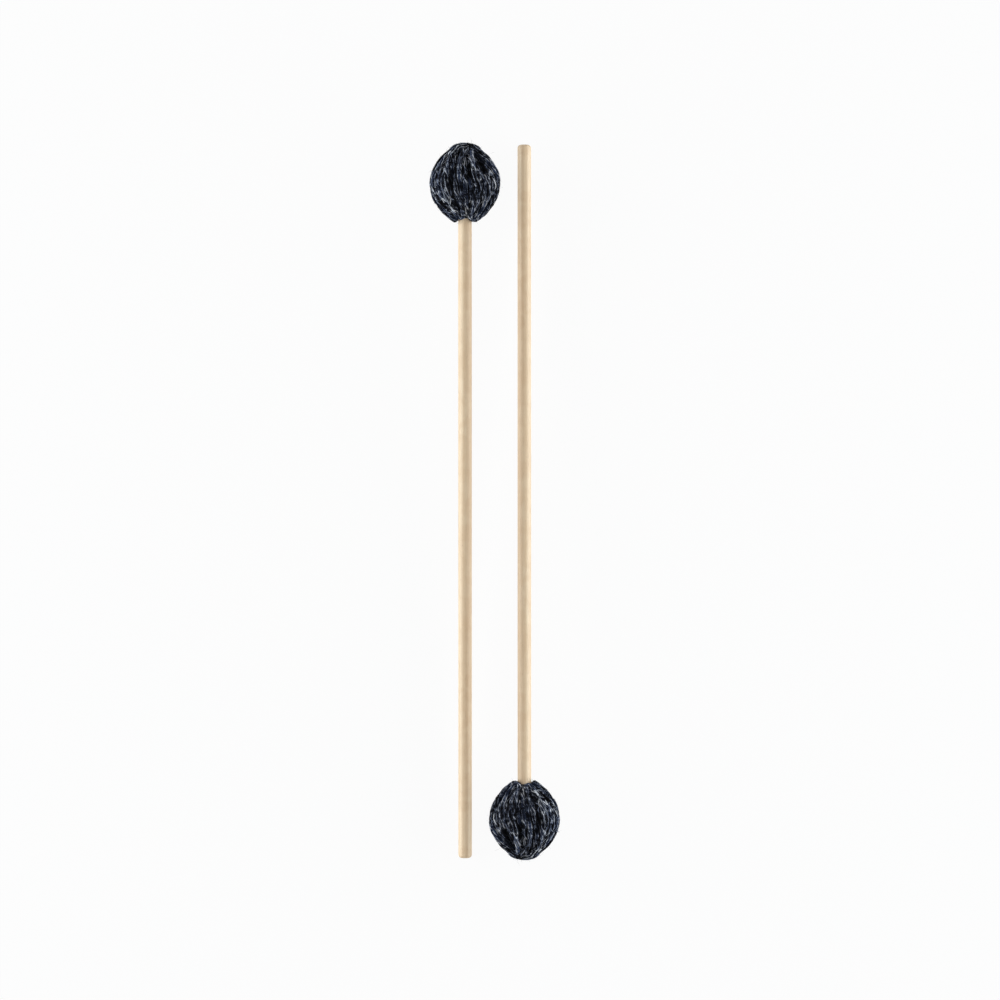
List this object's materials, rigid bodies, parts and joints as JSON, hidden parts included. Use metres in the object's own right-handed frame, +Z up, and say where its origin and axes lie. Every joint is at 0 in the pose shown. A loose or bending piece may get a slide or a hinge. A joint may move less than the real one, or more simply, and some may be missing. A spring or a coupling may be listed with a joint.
{
  "type": "marimba mallet pair",
  "caption": "Pair of yarn-wound marimba mallets with slim birch shafts, lying side by side head to tail; onion-shaped heads of crossed marled yarn, stitched in at the collar.",
  "frame": {"origin": "on the surface that the pair lies on, under the middle of the pair's bounding box", "axes": "+Z up from the surface; +Y along the pair, towards the left mallet's head; +X from the left mallet to the right one"},
  "size_m": [0.0754, 0.419, 0.0409],
  "materials": {
    "birch": "clear satin lacquer over fine straight grain",
    "core_rubber": "moulded, matt",
    "inner_yarn": "dark wound yarn",
    "marled_yarn": "plied yarn, navy and black marled with grey, slightly fuzzy",
    "stitching_thread": "waxed black thread"
  },
  "bodies": {
    "left_mallet": {"left_shaft": "birch", "left_core": "core_rubber", "left_under_winding": "inner_yarn", "left_outer_winding": "marled_yarn", "left_crown_stitch": "stitching_thread", "left_collar_stitch": "stitching_thread"},
    "right_mallet": {"right_shaft": "birch", "right_core": "core_rubber", "right_under_winding": "inner_yarn", "right_outer_winding": "marled_yarn", "right_crown_stitch": "stitching_thread", "right_collar_stitch": "stitching_thread"}
  },
  "joints": [
    {"name": "right_mallet_apart", "type": "slide", "parent": "left_mallet", "child": "right_mallet", "axis": [1, 0, 0], "range_m": [0, 0.15]}
  ]
}
